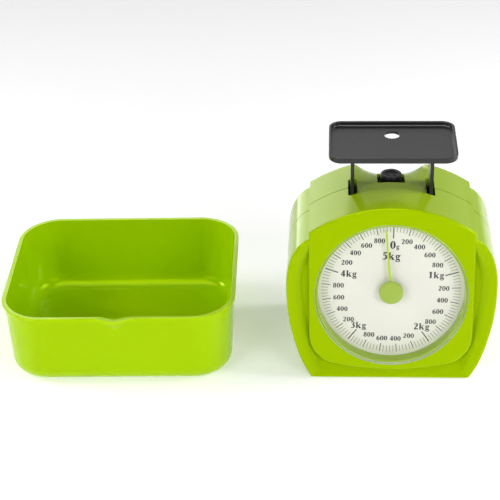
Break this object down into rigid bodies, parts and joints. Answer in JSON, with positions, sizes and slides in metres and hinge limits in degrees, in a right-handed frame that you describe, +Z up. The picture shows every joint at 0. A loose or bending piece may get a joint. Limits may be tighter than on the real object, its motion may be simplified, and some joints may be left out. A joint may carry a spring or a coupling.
{
  "type": "mechanical dial platform scale",
  "caption": "Kitchen spring scale: leaning round dial, sprung platform on two guided posts, rack-driven needle, zero knob and a loose square weighing bowl.",
  "frame": {"origin": "centre line of the scale where the plane between its two housing halves meets the table", "axes": "+X to the right across the dial, +Y towards the back of the scale, +Z up"},
  "size_m": [0.4317, 0.1817, 0.201],
  "materials": {
    "housing_plastic": "gloss",
    "bowl_plastic": "gloss",
    "needle_plastic": "satin",
    "black_plastic": "satin",
    "rubber": "matte",
    "clear_lens": "clear",
    "dial_white": "satin white",
    "black_steel": "satin black",
    "zinc_steel": "zinc plated",
    "bright_steel": "bright",
    "spring_steel": "oiled",
    "brass": "machined"
  },
  "bodies": {
    "housing": {"front_housing": "housing_plastic", "rear_housing": "housing_plastic", "base_cover": "black_plastic", "rubber_feet": "rubber", "floor_screws": "bright_steel", "seam_screws": "bright_steel", "flange_screws": "bright_steel", "dial_lens": "clear_lens", "dial_plate": "dial_white", "dial_screws": "bright_steel", "chassis": "zinc_steel", "front_bush": "brass", "frame_pins": "bright_steel", "shaft_bracket": "zinc_steel", "rear_bush": "brass", "bracket_screws": "bright_steel", "knob_washer": "zinc_steel"},
    "platform": {"carrier": "black_steel", "carrier_pins": "bright_steel", "pin_clips": "bright_steel", "platform_tray": "black_plastic", "rack": "brass", "rack_rivet": "bright_steel", "rack_spring": "spring_steel", "main_spring": "spring_steel"},
    "pointer": {"pinion": "brass", "pointer_shaft": "bright_steel", "needle": "needle_plastic", "needle_cap": "needle_plastic"},
    "lower_guide": {"lower_link": "zinc_steel"},
    "upper_guide": {"upper_link": "zinc_steel"},
    "adjuster": {"zero_screw": "bright_steel"},
    "knob": {"zero_knob": "black_plastic", "knob_nut": "brass"},
    "bowl": {"weighing_bowl": "bowl_plastic"}
  },
  "joints": [
    {"name": "platform_travel", "type": "slide", "parent": "housing", "child": "platform", "axis": [0, 0, -1], "range_m": [0, 0.0165], "stiffness_N_per_m": 3095, "springref_m": -0.001, "deforming": ["main_spring"]},
    {"name": "pointer_spin", "type": "hinge", "parent": "housing", "child": "pointer", "pos_m": [0, -0.0445, 0.077], "axis": [0, 0.9914, -0.1305], "range_deg": [0, 375.52]},
    {"name": "lower_guide_swing", "type": "hinge", "parent": "housing", "child": "lower_guide", "pos_m": [0, 0.0255, 0.038], "axis": [1, 0, 0], "range_deg": [0, 25.91]},
    {"name": "upper_guide_swing", "type": "hinge", "parent": "housing", "child": "upper_guide", "pos_m": [0, 0.0255, 0.112], "axis": [1, 0, 0], "range_deg": [0, 25.91]},
    {"name": "zero_knob_turn", "type": "hinge", "parent": "housing", "child": "knob", "pos_m": [0, 0.013, 0.15], "axis": [0, 0, 1], "range_deg": [-270.6, 270.6]},
    {"name": "zero_screw_lift", "type": "slide", "parent": "housing", "child": "adjuster", "axis": [0, 0, 1], "range_m": [-0.0006, 0.0006]},
    {"name": "bowl_lift", "type": "slide", "parent": "housing", "child": "bowl", "axis": [0, 0, 1], "range_m": [0, 0.15]}
  ],
  "couplings": [
    {"joint": "pointer_spin", "follows": "platform_travel", "rad_per_m": 396.58},
    {"joint": "lower_guide_swing", "follows": "platform_travel", "rad_per_m": 27.306},
    {"joint": "upper_guide_swing", "follows": "platform_travel", "rad_per_m": 27.306},
    {"joint": "zero_knob_turn", "follows": "zero_screw_lift", "rad_per_m": -7854}
  ]
}
